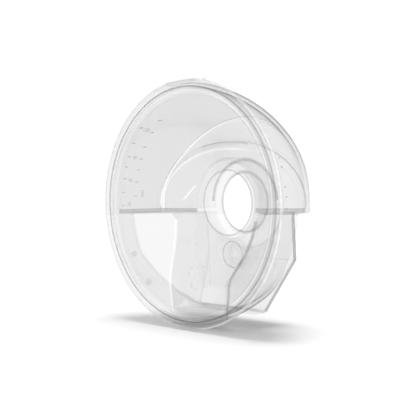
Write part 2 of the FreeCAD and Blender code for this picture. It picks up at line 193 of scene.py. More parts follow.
# Beads: sides and steps, their radii, and a direction that no bead follows
BEAD_SIDES = 8
RING_STEPS = 160
DOCK_BEAD_STEPS = 80
EDGE_STEPS = 4
CORNER_STEPS = 12
STREAK_STEPS = 8
FOOT_EDGE_POINTS = 24
EDGE_BEAD = 0.75
EDGE_BEAD_END = 0.45
STREAK_AND_FOOT_EDGE_BEAD = 0.55
DOCK_BEAD = 0.4
OFF_AXIS = Vector((0.31, 0.23, 0.92))

# Clear plastic: slow drift of its tint, flow marks in its polish, and where a ring's side
# turned to the viewer begins and is full
TINT_DRIFT = 0.008
DRIFT_SCALE = 34.0
FLOW_SCALE = 160.0
FLOW_BUMP = 0.02
FLOW_DEPTH = 0.0004
PLASTIC_IOR = 1.49
NEAR_START = 0.05
NEAR_FULL = 0.60

# Material slots of a built piece; the shield has three more
WALL, EDGE, SHINE = 0, 1, 2
BAND, PLUG, TUNNEL = 3, 4, 5


# --- shaping helpers ----------------------------------------------------------------

def spline(points, steps):
    """Natural cubic spline through 2-D points, sampled evenly between its knots."""
    p = np.array(points, float)
    t = np.concatenate([[0.0], np.cumsum(np.linalg.norm(np.diff(p, axis=0), axis=1))])
    n = len(t)
    h = np.diff(t)
    a = np.zeros((n, n))
    b = np.zeros((n, 2))
    a[0, 0] = a[-1, -1] = 1.0
    for i in range(1, n - 1):
        a[i, i - 1] = h[i - 1]
        a[i, i] = 2 * (h[i - 1] + h[i])
        a[i, i + 1] = h[i]
        b[i] = 6 * ((p[i + 1] - p[i]) / h[i] - (p[i] - p[i - 1]) / h[i - 1])
    m = np.linalg.solve(a, b)
    out = []
    for s in np.linspace(0.0, t[-1], steps):
        i = min(int(np.searchsorted(t, s, side="right")) - 1, n - 2)
        u, v = t[i + 1] - s, s - t[i]
        out.append((m[i] * u ** 3 + m[i + 1] * v ** 3) / (6 * h[i])
                   + (p[i] / h[i] - m[i] * h[i] / 6) * u
                   + (p[i + 1] / h[i] - m[i + 1] * h[i] / 6) * v)
    return [tuple(x) for x in out]


def offset(points, distance):
    """2-D curve moved sideways, to the left of its direction when distance is positive."""
    p = np.array(points, float)
    d = np.gradient(p, axis=0)
    d /= np.linalg.norm(d, axis=1)[:, None]
    return [tuple(x) for x in p + np.stack([-d[:, 1], d[:, 0]], 1) * distance]


def arc(cx, cy, radius, start, end, steps):
    """Points of a circular arc, angles in degrees."""
    return [(cx + radius * math.cos(math.radians(a)), cy + radius * math.sin(math.radians(a)))
            for a in np.linspace(start, end, steps)]


def along(knots, steps):
    """Points along straight runs between 3-D knots, evenly stepped within each run."""
    points = []
    for a, b in zip(knots, knots[1:]):
        points += [a.lerp(b, i / steps) for i in range(steps)]
    return points + [knots[-1]]


def on_side(knots, side, inset=0.0):
    """Knots of the right side moved inward by an inset and placed on side -1 or 1."""
    return [Vector((side * (x - inset), y, z)) for x, y, z in knots]


def finish_piece(name, bm, body, materials, nodes=(), bevel=0.0):
    """Turns a bmesh into a named piece on its body, with softened edges and smooth faces."""
    bmesh.ops.remove_doubles(bm, verts=bm.verts, dist=1e-7)
    bmesh.ops.recalc_face_normals(bm, faces=bm.faces)
    if bevel:
        edges = [e for e in bm.edges if len(e.link_faces) == 2
                 and e.calc_face_angle(0.0) > PIECE_BEVEL_ANGLE]
        bmesh.ops.bevel(bm, geom=edges, offset=bevel * MM, segments=2, profile=0.6,
                        affect="EDGES", clamp_overlap=True, material=SHINE)
    for face in bm.faces:
        face.smooth = True
    mesh = bpy.data.meshes.new(name)
    bm.to_mesh(mesh)
    bm.free()
    for material in materials:
        mesh.materials.append(material)
    piece = bpy.data.objects.new(name, mesh)
    bpy.context.scene.collection.objects.link(piece)
    mesh.set_sharp_from_angle(angle=SHARP_ANGLE)
    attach(piece, body)
    if nodes:
        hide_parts(*nodes)


def turned(profile, segments, shape):
    """Closed profile swept a full turn about the Y axis, in millimetres. The profile holds
    (radius, y, slot), the slot being that of the run after the point. shape moves a point."""
    bm = bmesh.new()
    rings = []
    for i in range(segments):
        a = 2 * math.pi * i / segments
        rings.append([bm.verts.new(shape(Vector((r * math.cos(a), y, r * math.sin(a)))) * MM)
                      for r, y, _ in profile])
    for i in range(segments):
        a, b = rings[i], rings[(i + 1) % segments]
        for j, (_, _, slot) in enumerate(profile):
            k = (j + 1) % len(profile)
            bm.faces.new((a[j], a[k], b[k], b[j])).material_index = slot
    return bm


def tube(points, radius, closed=False, end_radius=None):
    """Thin round bead along a 3-D path in millimetres, closed on itself or capped.
    It tapers evenly to end_radius when that is given."""
    bm = bmesh.new()
    count = len(points)
    rings = []
    for i, point in enumerate(points):
        after = points[(i + 1) % count] if closed or i + 1 < count else point
        before = points[i - 1] if closed or i else point
        forward = (after - before).normalized()
        across = forward.cross(OFF_AXIS).normalized()
        other = forward.cross(across)
        size = radius + ((end_radius or radius) - radius) * i / count
        ring = []
        for k in range(BEAD_SIDES):
            a = 2 * math.pi * k / BEAD_SIDES
            out = across * math.cos(a) + other * math.sin(a)
            ring.append(bm.verts.new((point + out * size) * MM))
        rings.append(ring)
    for i in range(count if closed else count - 1):
        a, b = rings[i], rings[(i + 1) % count]
        for k in range(BEAD_SIDES):
            m = (k + 1) % BEAD_SIDES
            bm.faces.new((a[k], a[m], b[m], b[k]))
    if not closed:
        bm.faces.new(rings[0][::-1])
        bm.faces.new(rings[-1])
    return bm


def raised_bar(bm, start, end, width, height, steps, place):
    """Low moulded bar between two (depth, height) spots of a surface. The surface is
    given by place(y, z, lift), and the bar's foot is sunk into it a little."""
    run = Vector((end[0] - start[0], end[1] - start[1]))
    across = Vector((-run.y, run.x)).normalized() * width / 2
    grid = []
    for i in range(steps + 1):
        y = start[0] + run.x * i / steps
        z = start[1] + run.y * i / steps
        section = []
        for edge, lift in ((-1, MARK_SINK), (-1, height), (1, height), (1, MARK_SINK)):
            spot = place(y + across.x * edge, z + across.y * edge, lift)
            section.append(bm.verts.new(spot * MM))
        grid.append(section)
    for a, b in zip(grid, grid[1:]):
        for k in range(4):
            m = (k + 1) % 4
            bm.faces.new((a[k], a[m], b[m], b[k]))
    bm.faces.new(grid[0])
    bm.faces.new(grid[-1][::-1])


# --- materials ----------------------------------------------------------------------

class Graph:
    """Nodes of a new material."""

    def __init__(self, name):
        self.material = bpy.data.materials.new(name)
        self.material.use_nodes = True
        self.tree = self.material.node_tree
        self.tree.nodes.clear()

    def add(self, kind, inputs=None, operation=None):
        """Adds a shader node. Each input is linked to a socket or set to a value."""
        node = self.tree.nodes.new("ShaderNode" + kind)
        if operation:
            node.operation = operation
        for key, value in (inputs or {}).items():
            self.put(node, key, value)
        return node

    def put(self, node, key, value):
        if isinstance(value, bpy.types.NodeSocket):
            self.tree.links.new(value, node.inputs[key])
        else:
            node.inputs[key].default_value = value

    def math(self, operation, a, b):
        return self.add("Math", {0: a, 1: b}, operation).outputs[0]

    def noise(self, place, scale, detail):
        inputs = {"Vector": place, "Scale": scale, "Detail": detail}
        return self.add("TexNoise", inputs).outputs["Fac"]

    def mix(self, share, a, b):
        return self.add("Mix", {"Factor": share, "A": a, "B": b}).outputs["Result"]


def near_side(graph, place, level_only):
    """One on the side of a ring that is turned to the viewer, zero on the far side.
    With level_only it goes by left and right alone. It places painted shade and painted
    highlights."""
    split = graph.add("SeparateXYZ", {0: place})
    radial = graph.add("CombineXYZ", {"X": split.outputs["X"]})
    if not level_only:
        graph.put(radial, "Z", split.outputs["Z"])
    unit = graph.add("VectorMath", {0: radial.outputs[0]}, "NORMALIZE")
    local = graph.add("VectorTransform")
    local.vector_type = "VECTOR"
    local.convert_from = "WORLD"
    local.convert_to = "OBJECT"
    graph.put(local, 0, graph.add("NewGeometry").outputs["Incoming"])
    dot = graph.add("VectorMath", {0: unit.outputs[0], 1: local.outputs[0]}, "DOT_PRODUCT")
    ramp = graph.add("MapRange", {"From Min": NEAR_START, "From Max": NEAR_FULL,
                                  "Value": dot.outputs["Value"]})
    ramp.interpolation_type = "SMOOTHSTEP"
    return ramp.outputs[0]


def tint_level(graph, place, face, edge, power):
    """Share of light that passes: face straight on, edge at a glancing angle, and a slow
    drift of both, as wall thickness drifts."""
    facing = graph.add("LayerWeight", {"Blend": 0.5}).outputs["Facing"]
    level = graph.mix(graph.math("POWER", facing, power), face, edge)
    drift = graph.math("SUBTRACT", graph.noise(place, DRIFT_SCALE, 2.0), 0.5)
    return graph.math("ADD", level, graph.math("MULTIPLY", drift, TINT_DRIFT * 2))


def polish(graph, place, rough):
    """Gloss of the surface, with faint flow marks."""
    height = graph.noise(place, FLOW_SCALE, 3.0)
    relief = graph.add("Bump", {"Strength": FLOW_BUMP, "Distance": FLOW_DEPTH,
                                "Height": height})
    return graph.add("BsdfGlossy", {"Roughness": rough, "Normal": relief.outputs[0]})


def clear_material(name, face, edge, power, gloss, shadow, sheen=0.0, glint=0.0, near=1.0,
                   glint_side="all", level_only=False, rough=0.10):
    """Clear moulded plastic. Light passes with a grey tint that deepens at glancing angles,
    under a weak polish; a shadow is cast with a tint of its own. near scales the tint on the
    side turned to the viewer: painted shade below one, painted light above one. glint is a
    painted highlight, light emitted on all, the near or the far side."""
    graph = Graph(name)
    place = graph.add("TexCoord").outputs["Object"]
    side = None
    if near != 1.0 or glint_side != "all":
        side = near_side(graph, place, level_only)
    level = tint_level(graph, place, face, edge, power)
    # painted shade, or painted light above one, on the side turned to the viewer
    if near != 1.0:
        level = graph.math("MULTIPLY", level, graph.mix(side, 1.0, near))
    in_shadow = graph.add("LightPath").outputs["Is Shadow Ray"]
    shade = graph.mix(in_shadow, level, shadow)
    grey = graph.add("CombineColor", {"Red": shade, "Green": shade, "Blue": shade})
    clear = graph.add("BsdfTransparent", {"Color": grey.outputs[0]})
    shine = polish(graph, place, rough)
    fresnel = graph.add("Fresnel", {"IOR": PLASTIC_IOR}).outputs[0]
    amount = graph.math("ADD", graph.math("MULTIPLY", fresnel, gloss), sheen)
    surface = graph.add("MixShader", {0: amount, 1: clear.outputs[0], 2: shine.outputs[0]})
    # painted highlight: emitted light added to the surface, on all sides or on one side only
    if glint:
        strength = glint
        if glint_side == "near":
            strength = graph.math("MULTIPLY", side, glint)
        elif glint_side == "far":
            strength = graph.math("MULTIPLY", graph.math("SUBTRACT", 1.0, side), glint)
        light = graph.add("Emission", {"Strength": strength})
        surface = graph.add("AddShader", {0: surface.outputs[0], 1: light.outputs[0]})
    graph.add("OutputMaterial", {"Surface": surface.outputs[0]})
    return graph.material


# Sets by slot: wall, edge and shine. The shield has three more, soft pieces have one only.
SHIELD_MATERIALS = [
    clear_material("shield_wall", 0.923, 0.91, 14.0, 0.08, 0.88),
    clear_material("shield_edge", 0.90, 0.75, 4.0, 0.10, 0.60),
    # painted highlight: the shield's bevels glow a little
    clear_material("shield_shine", 0.97, 0.90, 8.0, 0.2, 0.60, sheen=0.2, glint=0.03),
    # painted shade: the lip band is darker on the side turned to the viewer
    clear_material("lip_band", 0.975, 0.85, 8.0, 0.10, 0.80, near=0.74),
    clear_material("plug_wall", 0.998, 0.97, 8.0, 0.05, 0.90),
    clear_material("tunnel_wall", 0.955, 0.90, 10.0, 0.08, 0.88),
]
SHELL_MATERIALS = [
    clear_material("shell_wall", 0.942, 0.05, 11.0, 0.08, 0.80),
    clear_material("shell_edge", 0.98, 0.85, 4.0, 0.08, 0.60),
    clear_material("shell_shine", 0.95, 0.80, 8.0, 0.3, 0.75, sheen=0.2),
]
DOCK_MATERIALS = [
    clear_material("dock_wall", 0.966, 0.90, 12.0, 0.08, 0.75),
    # painted highlight: the dock's end faces and rounded corners glow a little
    clear_material("dock_edge", 0.99, 0.90, 6.0, 0.10, 0.75, glint=0.03),
    clear_material("dock_shine", 0.97, 0.90, 8.0, 0.2, 0.80, sheen=0.1, glint=0.02),
]
CRADLE_MATERIALS = [
    clear_material("cradle_wall", 0.95, 0.85, 12.0, 0.08, 0.40),
    # painted shade: the cradle's end faces are darker on the side turned to the viewer
    clear_material("cradle_edge", 0.99, 0.95, 4.0, 0.05, 0.40, near=0.85, level_only=True),
    clear_material("cradle_shine", 0.997, 0.98, 8.0, 0.05, 0.40),
]
SMALL_MATERIALS = [
    clear_material("small_wall", 0.98, 0.80, 8.0, 0.10, 0.80),
    clear_material("small_edge", 0.92, 0.75, 4.0, 0.10, 0.80),
    clear_material("small_shine", 0.98, 0.90, 8.0, 0.3, 0.85, sheen=0.1),
]
# Darker tint for the lift tab and the left studs, darkest on their bevels: painted shade, so that
# their outlines show dark
SHADED_SMALL_MATERIALS = [
    clear_material("shaded_small_wall", 0.94, 0.80, 6.0, 0.10, 0.80),
    clear_material("shaded_small_edge", 0.88, 0.72, 4.0, 0.10, 0.80),
    clear_material("shaded_small_shine", 0.86, 0.75, 6.0, 0.3, 0.85, sheen=0.05),
]
LEDGE_MATERIALS = [
    clear_material("ledge_wall", 0.86, 0.80, 1.0, 0.10, 0.80),
    clear_material("ledge_edge", 0.84, 0.78, 2.0, 0.10, 0.70),
    clear_material("ledge_shine", 0.80, 0.75, 4.0, 0.3, 0.80),
]
SOFT_MATERIALS = [
    clear_material("silicone", 0.998, 0.985, 3.0, 0.03, 0.95, rough=0.35),
]
PORT_MATERIALS = [
    clear_material("port_wall", 0.993, 0.95, 6.0, 0.05, 0.85),
    clear_material("port_edge", 0.98, 0.92, 4.0, 0.05, 0.85),
    clear_material("port_shine", 0.99, 0.95, 6.0, 0.1, 0.85),
]
COVER_MATERIALS = [
    clear_material("cover_wall", 0.965, 0.85, 12.0, 0.08, 0.25),
    # painted shade: the rear cover's side faces and bevels are darker on the side turned to the
    # viewer
    clear_material("cover_edge", 0.997, 0.98, 4.0, 0.05, 0.30, near=0.80, level_only=True),
    clear_material("cover_shine", 0.997, 0.98, 8.0, 0.05, 0.30, near=0.85, level_only=True),
]
PLATE_MATERIALS = [
    clear_material("plate_wall", 0.99, 0.95, 6.0, 0.05, 0.80),
    clear_material("plate_edge", 0.98, 0.95, 6.0, 0.05, 0.80),
    clear_material("plate_shine", 0.99, 0.97, 6.0, 0.10, 0.80),
]

# Single materials of beads and marks
DARK_LINE = clear_material("dark_line", 0.86, 0.70, 2.0, 0.10, 0.70)
FINE_LINE = clear_material("fine_line", 0.90, 0.78, 2.0, 0.10, 0.75)
PRINT = clear_material("moulded_scale", 0.88, 0.80, 3.0, 0.10, 0.90)
# painted shade: darker on the side turned to the viewer
CORNER_SHADE_LINE = clear_material("corner_shade_line", 0.999, 0.99, 3.0, 0.05, 0.60, near=0.80,
                             level_only=True)
# dark groove line, painted lighter on the side turned to the viewer
GROOVE_LINE = clear_material("groove_line", 0.79, 0.68, 2.0, 0.05, 0.92, near=1.14)
# painted highlight: glows on the side turned to the viewer
LIP_HIGHLIGHT_LINE = clear_material("lip_highlight_line", 0.99, 0.96, 4.0, 0.2, 0.80, glint=0.09, glint_side="near")
# painted highlight: glows on the side away from the viewer
FAR_HIGHLIGHT_LINE = clear_material("far_highlight_line", 0.995, 0.98, 4.0, 0.2, 0.90, glint=0.13, glint_side="far")
# painted shade: darker on the side turned to the viewer
NEAR_SHADE_LINE = clear_material("near_shade_line", 0.997, 0.98, 3.0, 0.05, 0.90, near=0.84)
# painted highlight on the side away from the viewer, painted shade on the side turned to it
EDGE_HIGHLIGHT_SHADE_LINE = clear_material("edge_highlight_shade_line", 0.99, 0.95, 4.0, 0.2, 0.80, glint=0.10, glint_side="far",
                           near=0.84, level_only=True)
FAINT_LINE = clear_material("faint_line", 0.935, 0.88, 3.0, 0.05, 0.90)
GHOST = clear_material("thin_clear", 0.996, 0.97, 6.0, 0.05, 0.85)

# Sets of the CAD nodes that are shown; the others have SMALL_MATERIALS
FINISHES = {
    "lift_tab_top": SHADED_SMALL_MATERIALS,
    "stud_left_high": SHADED_SMALL_MATERIALS,
    "stud_left_low": SHADED_SMALL_MATERIALS,
    "cradle_frame": CRADLE_MATERIALS,
    "port_plate": PLATE_MATERIALS,
    "rear_cover": COVER_MATERIALS,
    "vacuum_port": PORT_MATERIALS,
    "port_cap": PORT_MATERIALS,
    "chamber_floor_left": LEDGE_MATERIALS,
    "chamber_floor_right": LEDGE_MATERIALS,
    "rim_gasket": SOFT_MATERIALS,
    "tunnel_seal": SOFT_MATERIALS,
    "port_seal": SOFT_MATERIALS,
    "milk_valve": SOFT_MATERIALS,
    "backflow_diaphragm": SOFT_MATERIALS,
}


# --- breast shield ------------------------------------------------------------------

def notch(p):
    """Flattens the lip where the finger tabs sit, at its top and bottom."""
    if (p.y <= LIP_THICKNESS + 0.001 and abs(p.z) > TAB_NOTCH_Z
            and abs(p.x) < TAB_NOTCH_HALF_WIDTH):
        return Vector((p.x, p.y, math.copysign(TAB_NOTCH_Z, p.z)))
    return p


def breast_shield():
    """Lip, plug wall, funnel and tunnel, turned in one closed profile."""
    front = spline(FUNNEL, FUNNEL_STEPS)
    back = [p for p in offset(front, -SHIELD_WALL) if p[0] < PLUG_INNER_RADIUS - PROFILE_GAP]
    bead = LIP_THICKNESS / 2
    rim = arc(RIM_RADIUS - bead, bead, bead, -90, 90, LIP_STEPS)
    outside = TUNNEL_RADIUS + SHIELD_WALL
    profile = [(*LIP_INNER_EDGE[0], SHINE), (*LIP_INNER_EDGE[1], PLUG),
               (BAND_INNER_RADIUS, 0.0, BAND), (BAND_OUTER_RADIUS, 0.0, WALL)]
    profile += [(r, y, SHINE) for r, y in rim[:-1]]
    profile += [(*rim[-1], WALL)]
    profile += [(PLUG_OUTER_RADIUS, LIP_THICKNESS, PLUG),
                (PLUG_OUTER_RADIUS, PLUG_DEPTH, PLUG),
                (PLUG_INNER_RADIUS, PLUG_DEPTH, PLUG),
                (PLUG_INNER_RADIUS, back[0][1] + PROFILE_GAP, PLUG)]
    profile += [(r, y, WALL) for r, y in back]
    profile += [(outside, TUNNEL_BORE_START + TUNNEL_ROUND, TUNNEL),
                (outside, TUNNEL_END - TUNNEL_ROUND, SHINE),
                (outside - TUNNEL_ROUND, TUNNEL_END, EDGE),
                (TUNNEL_RADIUS + TUNNEL_ROUND, TUNNEL_END, SHINE),
                (TUNNEL_RADIUS, TUNNEL_END - TUNNEL_ROUND, TUNNEL),
                (TUNNEL_RADIUS, TUNNEL_BORE_START, TUNNEL)]
    profile += [(r, y, WALL) for r, y in front[::-1]]
    finish_piece("shield_moulding", turned(profile, TURN_SEGMENTS, notch), "shield",
                 SHIELD_MATERIALS, ["breast_shield"])


def gate_nub():
    """Small round nub on the lip's edge, near its top, where the mould was filled."""
    outward = Vector((math.cos(NUB_ANGLE), 0.0, math.sin(NUB_ANGLE)))
    middle = Vector((0.0, LIP_THICKNESS / 2, 0.0))
    points = [outward * r + middle for r in np.linspace(RIM_RADIUS - NUB_ROOT, NUB_REACH, 6)]
    finish_piece("gate_nub", tube(points, NUB_RADIUS), "shield", [FAINT_LINE],
                 bevel=NUB_BEVEL)


# --- container ----------------------------------------------------------------------

def reach(theta, half_width, half_height):
    """Distance from the floor's bottom line to an upright ellipse, at angle theta from +X."""
    c, s = math.cos(theta), math.sin(theta)
    a = (c / half_width) ** 2 + (s / half_height) ** 2
    b = 2 * FLOOR_BOTTOM * s / half_height ** 2
    k = (FLOOR_BOTTOM / half_height) ** 2 - 1
    return (-b + math.sqrt(b * b - 4 * a * k)) / (2 * a)


def polar(theta, distance, y):
    """Point at a distance from the line along the floor's bottom, in millimetres."""
    return Vector((distance * math.cos(theta), y, FLOOR_BOTTOM + distance * math.sin(theta)))


def shell_reach(theta, y, inset):
    share = math.sqrt(max(0.0, 1 - (y / (SHELL_DEPTH_RADIUS - inset)) ** 2))
    return reach(theta, (SHELL_HALF_WIDTH - inset) * share, (SHELL_HALF_HEIGHT - inset) * share)


def dock_reach(theta, y, grow):
    run = y - DOCK_FLOOR
    slope_w = (DOCK_MOUTH_HALF_WIDTH - DOCK_HALF_WIDTH) / (DOCK_MOUTH - DOCK_FLOOR)
    slope_h = (DOCK_MOUTH_HEIGHT - DOCK_HEIGHT) / (DOCK_MOUTH - DOCK_FLOOR)
    return reach(theta, DOCK_HALF_WIDTH + slope_w * run + grow, DOCK_HEIGHT + slope_h * run + grow)


def meeting(theta, inset, grow):
    """Depth at which the shell's surface meets the dock's roof, found by halving."""
    low, high = MEETING_RANGE
    for _ in range(MEETING_HALVINGS):
        middle = (low + high) / 2
        if shell_reach(theta, middle, inset) > dock_reach(theta, middle, grow):
            low = middle
        else:
            high = middle
    return low


def skirt_end(theta, inset):
    """Depth of the skirt's rear edge, which runs back as it goes down."""
    y = SKIRT_REAR
    for _ in range(6):
        z = polar(theta, shell_reach(theta, y, inset), y).z
        y = SKIRT_REAR + SKIRT_FALL * max(0.0, SKIRT_TURN_Z - z)
    return y


def outer_shell():
    """Domed wall above the floor and skirt below it, one moulding with rounded edges."""
    angles = [math.pi * i / ARCH_STEPS for i in range(ARCH_STEPS + 1)]
    angles += [math.pi + math.pi * i / SKIRT_STEPS for i in range(1, SKIRT_STEPS)]
    count = len(angles)
    bm = bmesh.new()

    def column(theta, inset, in_arch):
        split = SKIRT_REAR if in_arch else skirt_end(theta, inset)
        depths = list(np.linspace(SHELL_FRONT, split, FRONT_ROWS))
        if in_arch:
            end = meeting(theta, inset, SHELL_WALL + GAP)
            depths += list(np.linspace(split, end, DOME_ROWS + 1)[1:])
        return [bm.verts.new(polar(theta, shell_reach(theta, y, inset), y) * MM)
                for y in depths]

    def face(a, b, c, d, slot):
        bm.faces.new((a, b, c, d)).material_index = slot

    outer, inner = [[column(theta, inset, i <= ARCH_STEPS) for i, theta in enumerate(angles)]
                    for inset in (0.0, SHELL_WALL)]
    for i in range(count):
        k = (i + 1) % count
        last = FRONT_ROWS - 1 + (DOME_ROWS if i < ARCH_STEPS else 0)
        for side in (outer, inner):
            for j in range(last):
                face(side[i][j], side[k][j], side[k][j + 1], side[i][j + 1], WALL)
        for j in (0, last):
            face(outer[i][j], outer[k][j], inner[k][j], inner[i][j], EDGE)
    for i in (0, ARCH_STEPS):
        for j in range(FRONT_ROWS - 1, FRONT_ROWS - 1 + DOME_ROWS):
            face(outer[i][j], outer[i][j + 1], inner[i][j + 1], inner[i][j], EDGE)
    finish_piece("shell_moulding", bm, "cup", SHELL_MATERIALS, ["outer_shell"],
                 bevel=SHELL_BEVEL)


def dock_section(theta):
    """Closed section of the dock's wall at one angle, as (distance, y): roof, corner and
    floor of the rear side, then floor, corner and roof of the front side."""
    rear, front = DOCK_FLOOR, DOCK_FLOOR - SHELL_WALL
    rear_corner, front_corner = rear + DOCK_CORNER_DEPTH, front + DOCK_CORNER
    rear_foot = dock_reach(theta, rear, 0) - DOCK_CORNER
    rear_rise = dock_reach(theta, rear_corner, 0) - rear_foot
    front_foot = dock_reach(theta, front, SHELL_WALL) - DOCK_CORNER
    front_rise = dock_reach(theta, front_corner, SHELL_WALL) - front_foot
    hole = reach(theta, DOCK_HOLE_RADIUS, DOCK_HOLE_RADIUS)
    rear_roof = np.linspace(meeting(theta, 0.0, 0.0), rear_corner, DOCK_ROWS)
    front_roof = np.linspace(front_corner, meeting(theta, 0.0, SHELL_WALL), DOCK_ROWS)
    shares = np.linspace(0, 1, DOCK_ROWS)
    turns = [share * math.pi / 2 for share in CORNER_SHARES]
    section = [(dock_reach(theta, y, 0), y) for y in rear_roof]
    section += [(rear_foot + rear_rise * math.cos(a),
                 rear + DOCK_CORNER_DEPTH * (1 - math.sin(a))) for a in turns]
    section += [(rear_foot + (hole - rear_foot) * share, rear) for share in shares]
    section += [(hole + (front_foot - hole) * share, front) for share in shares]
    section += [(front_foot + front_rise * math.sin(a),
                 front + DOCK_CORNER * (1 - math.cos(a))) for a in turns]
    section += [(dock_reach(theta, y, SHELL_WALL), y) for y in front_roof]
    return section


def dock_wall():
    """Arched roof and floor of the dock, with rounded corners between them."""
    walls = [WALL] * (DOCK_ROWS - 1)
    corner = [SHINE] * (len(CORNER_SHARES) + 1)
    slots = walls + corner + walls + [EDGE] + walls + corner + walls + [EDGE]
    bm = bmesh.new()
    columns = []
    for i in range(ARCH_STEPS + 1):
        theta = math.pi * i / ARCH_STEPS
        columns.append([bm.verts.new(polar(theta, r, y) * MM) for r, y in dock_section(theta)])
    for a, b in zip(columns, columns[1:]):
        for j, slot in enumerate(slots):
            k = (j + 1) % len(slots)
            bm.faces.new((a[j], a[k], b[k], b[j])).material_index = slot
    for column in (columns[0], columns[-1]):
        bm.faces.new(column).material_index = WALL
    finish_piece("dock_moulding", bm, "cup", DOCK_MATERIALS, ["dock_wall"])


# --- beads along edges, and painted highlight streaks -------------------------------

def bead(name, points, radius, material, end_radius=None):
    """Open bead on the cup's body."""
    finish_piece(name, tube(points, radius, end_radius=end_radius), "cup", [material])


def cradle_edges():
    """Rounded front edges of the cradle's side walls, one on each side. Their beads glow on the
    side away from the viewer, a painted highlight, and are darker on the side turned to it,
    painted shade.
    """
    for side, name in ((-1, "cradle_edge_left"), (1, "cradle_edge_right")):
        knots = on_side(CRADLE_EDGE, side, CRADLE_EDGE_INSET)
        bead(name, along(knots, EDGE_STEPS), EDGE_BEAD, EDGE_HIGHLIGHT_SHADE_LINE, EDGE_BEAD_END)


def cover_corners():
    """Rounded rear corners of the cradle, their beads darker on the side turned to the viewer as
    painted shade, and the rear edge of its foot.
    """
    for side, name in ((-1, "cover_corner_left"), (1, "cover_corner_right")):
        bead(name, along(on_side(COVER_CORNER, side), CORNER_STEPS), EDGE_BEAD, CORNER_SHADE_LINE)
    points = [Vector((x, FOOT_EDGE_Y, FOOT_EDGE_Z))
              for x in np.linspace(-FOOT_EDGE_HALF_WIDTH, FOOT_EDGE_HALF_WIDTH,
                                   FOOT_EDGE_POINTS)]
    bead("foot_rear_edge", points, STREAK_AND_FOOT_EDGE_BEAD, FINE_LINE)


def dock_highlight_streaks():
    """Painted highlight streak on the dock's floor beside the collar, one on each side: a thin
    bead that glows on the side away from the viewer.
    """
    for side, name in ((-1, "dock_highlight_streak_left"), (1, "dock_highlight_streak_right")):
        bead(name, along(on_side(DOCK_HIGHLIGHT_STREAK, side), STREAK_STEPS), STREAK_AND_FOOT_EDGE_BEAD, FAR_HIGHLIGHT_LINE)


def dock_beads():
    """Rounded edges of the dock: where its roof meets the dome, and round its floor.
    Each row has a span in degrees, a setback from the roof, and a depth into the floor;
    the bead without a depth runs along the mouth. The mouth bead and the inner floor bead glow
    on the side away from the viewer, a painted highlight; the outer floor bead is darker on the
    side turned to it, painted shade."""
    for name, span, material, setback, depth in (
            ("dock_mouth_bead", (4, 176), FAR_HIGHLIGHT_LINE, 0.4, None),
            ("dock_floor_bead_inner", (2, 178), FAR_HIGHLIGHT_LINE, 4.0, 0.1),
            ("dock_floor_bead_outer", (2, 178), NEAR_SHADE_LINE, 0.8, 0.8),
            ("dock_floor_bead_top", (66, 114), FINE_LINE, 0.8, 0.1)):
        points = []
        for theta in np.radians(np.linspace(*span, DOCK_BEAD_STEPS + 1)):
            if depth is None:
                y = meeting(theta, 0.0, SHELL_WALL) - setback
            else:
                y = DOCK_FLOOR - SHELL_WALL + depth
            points.append(polar(theta, dock_reach(theta, y, SHELL_WALL) - setback, y))
        bead(name, points, DOCK_BEAD, material)


def ring_beads():
    """Fillets of the lip, tunnel, port and collar: rings about the Y axis. Each row has the
    ring's radius, its depth and height, the bead's radius, and a span in degrees from +X
    towards +Z."""
    whole, arch = (0.0, 360.0), (2.0, 178.0)
    for name, body, ring_radius, y, z, radius, material, span in (
            # the groove line is painted lighter on the side turned to the viewer; the outer lip
            # line glows there, a painted highlight
            ("lip_groove_line", "shield", 53.9, 0.75, 0.0, 0.36, GROOVE_LINE, whole),
            ("lip_outer_line", "shield", 56.7, 0.75, 0.0, 0.45, LIP_HIGHLIGHT_LINE, whole),
            ("lip_inner_line", "shield", 51.5, 0.6, 0.0, 0.40, GHOST, whole),
            ("throat_line", "shield", 15.9, 30.3, 0.0, 0.35, FINE_LINE, whole),
            ("tunnel_end_line", "shield", 14.9, 42.9, 0.0, 0.40, FINE_LINE, whole),
            ("port_front_line", "cup", 6.4, 33.3, PORT_Z, 0.28, FINE_LINE, whole),
            ("collar_front_line", "cup", 21.2, 31.6, 0.0, 0.45, GHOST, arch),
            ("collar_rear_line", "cup", 21.0, 42.6, 0.0, 0.60, DARK_LINE, arch)):
        closed = span == whole
        turns = np.radians(np.linspace(*span, RING_STEPS + 1))
        points = [Vector((ring_radius * math.cos(a), y, z + ring_radius * math.sin(a)))
                  for a in (turns[:-1] if closed else turns)]
        finish_piece(name, tube(points, radius, closed), body, [material])


# --- volume scale and marks ---------------------------------------------------------

def on_dome(y, z, side, lift):
    """Point on the dome's outer face at a depth and height, on one side, lifted outward."""
    share = 1 - (y / SHELL_DEPTH_RADIUS) ** 2 - (z / SHELL_HALF_HEIGHT) ** 2
    x = side * SHELL_HALF_WIDTH * math.sqrt(max(share, 0.0))
    out = Vector((x / SHELL_HALF_WIDTH ** 2, y / SHELL_DEPTH_RADIUS ** 2,
                  z / SHELL_HALF_HEIGHT ** 2)).normalized()
    return Vector((x, y, z)) + out * lift


def digit_mesh(text, size):
    """Flat outlines of a number turned into a thin solid, by the built-in font."""
    curve = bpy.data.curves.new("digits", "FONT")
    curve.body = text
    curve.size = size
    curve.align_x = "CENTER"
    curve.align_y = "CENTER"
    curve.extrude = LETTER_HALF_THICKNESS
    curve.resolution_u = 3
    holder = bpy.data.objects.new("digits", curve)
    bpy.context.scene.collection.objects.link(holder)
    bpy.context.view_layer.update()
    graph = bpy.context.evaluated_depsgraph_get()
    mesh = bpy.data.meshes.new_from_object(holder.evaluated_get(graph))
    bpy.data.objects.remove(holder)
    return mesh


